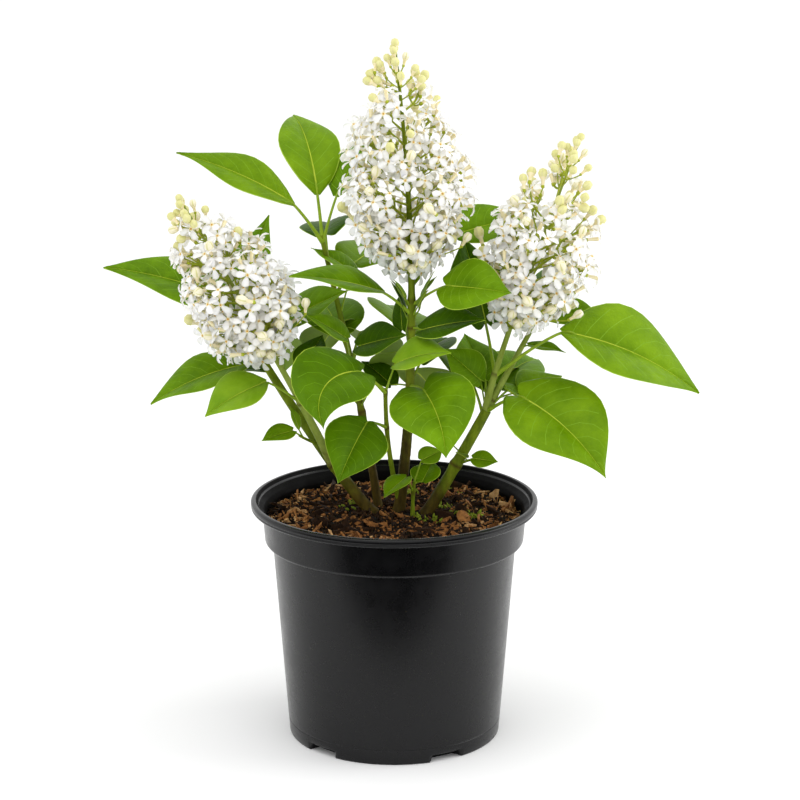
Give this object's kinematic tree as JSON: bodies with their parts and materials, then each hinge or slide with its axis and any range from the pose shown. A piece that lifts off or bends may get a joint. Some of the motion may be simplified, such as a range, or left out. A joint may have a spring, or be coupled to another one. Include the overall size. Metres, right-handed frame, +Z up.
{
  "type": "potted lilac",
  "caption": "Flowering white lilac shrub in a round black nursery pot: woody stems, heart-shaped leaves and upright white flower panicles, standing on the pot's flat underside.",
  "frame": {"origin": "centre of the pot's flat underside, on the surface it stands on", "axes": "+Z up along the pot's axis, +X to the right and +Y away from the viewer who sees the plant from the front"},
  "size_m": [0.4158, 0.2159, 0.4906],
  "materials": {
    "pot": "satin black moulded plastic",
    "soil": "dark compost with shredded bark",
    "stem": "thin olive-brown bark",
    "foliage": "fresh green leaf with a soft sheen",
    "blossom": "matt white petals"
  },
  "bodies": {
    "root": {"pot": "pot", "soil": "soil", "stem_middle": "stem", "stem_left": "stem", "stem_right": "stem", "stem_back": "stem", "bough_left": "stem", "bough_front": "stem", "bough_right_a": "stem", "bough_right_b": "stem", "foliage_middle": "foliage", "foliage_front": "foliage", "foliage_right": "foliage", "foliage_right_b": "foliage", "foliage_left": "foliage", "foliage_left_bough": "foliage", "foliage_back": "foliage", "sprout_soil": "foliage", "sprout_left": "foliage", "sprout_right": "foliage", "panicle_middle": "blossom", "panicle_left": "blossom", "panicle_right": "blossom"}
  },
  "joints": []
}
